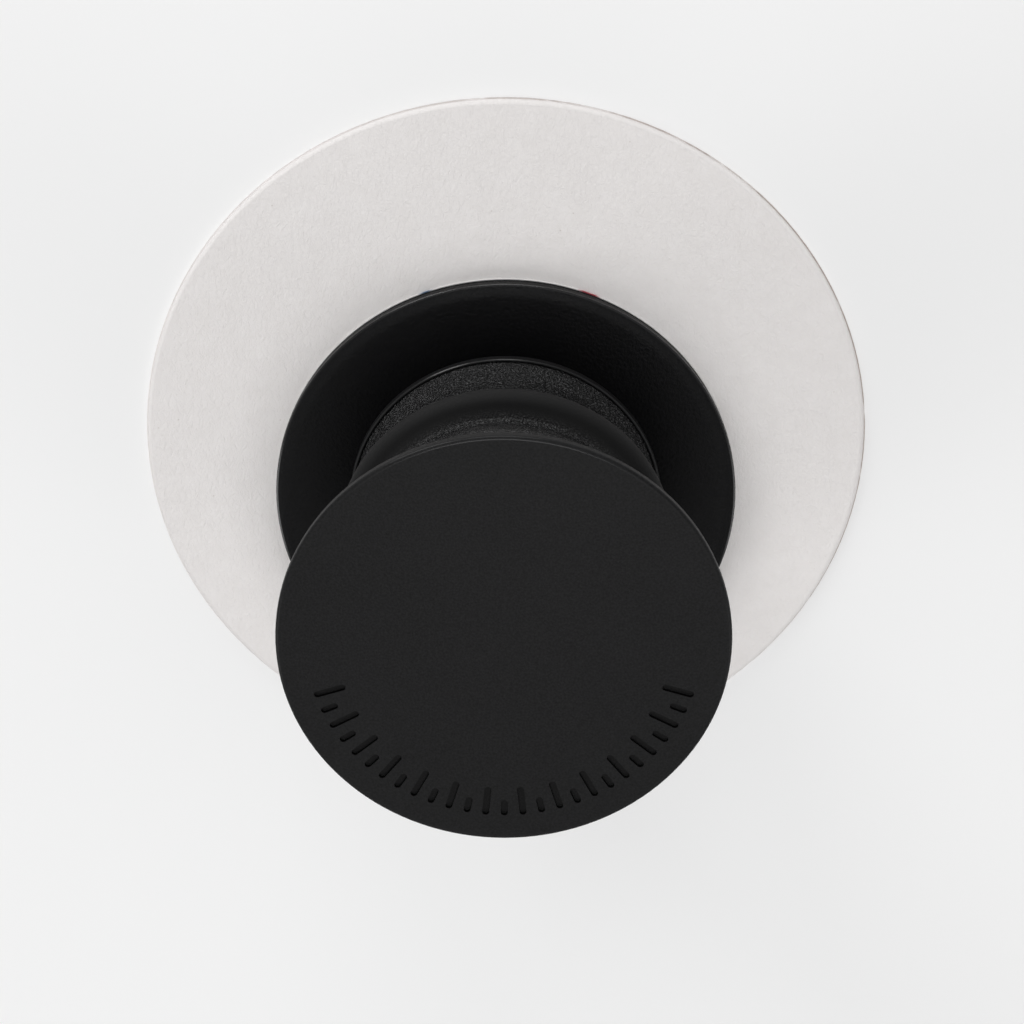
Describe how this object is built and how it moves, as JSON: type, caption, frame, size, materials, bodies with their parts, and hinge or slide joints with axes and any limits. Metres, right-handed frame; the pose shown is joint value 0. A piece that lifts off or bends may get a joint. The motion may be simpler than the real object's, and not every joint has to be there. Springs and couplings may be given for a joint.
{
  "type": "collapsible phone grip stand",
  "caption": "Round collapsible phone grip with a soft folded neck and a black button, stuck on a larger round white backing board.",
  "frame": {"origin": "centre of the backing board's flat back face, which the object stands on", "axes": "+Z along the grip's axis from the board to the button; +Y from the grip's axis towards the board's wider side"},
  "size_m": [0.068, 0.068, 0.0314],
  "materials": {
    "board": "matte",
    "film": "satin",
    "pad": "matte",
    "base": "matte",
    "neck": "matte",
    "plug": "satin",
    "button": "matte"
  },
  "bodies": {
    "base": {"backing_board": "board", "liner_film": "film", "adhesive_pad": "pad", "base_plate": "base", "accordion_neck": "neck"},
    "button": {"button": "button", "neck_plug": "plug"}
  },
  "joints": [
    {"name": "collapse", "type": "slide", "parent": "base", "child": "button", "axis": [0, 0, -1], "range_m": [0, 0.0244], "deforming": ["accordion_neck"]}
  ]
}
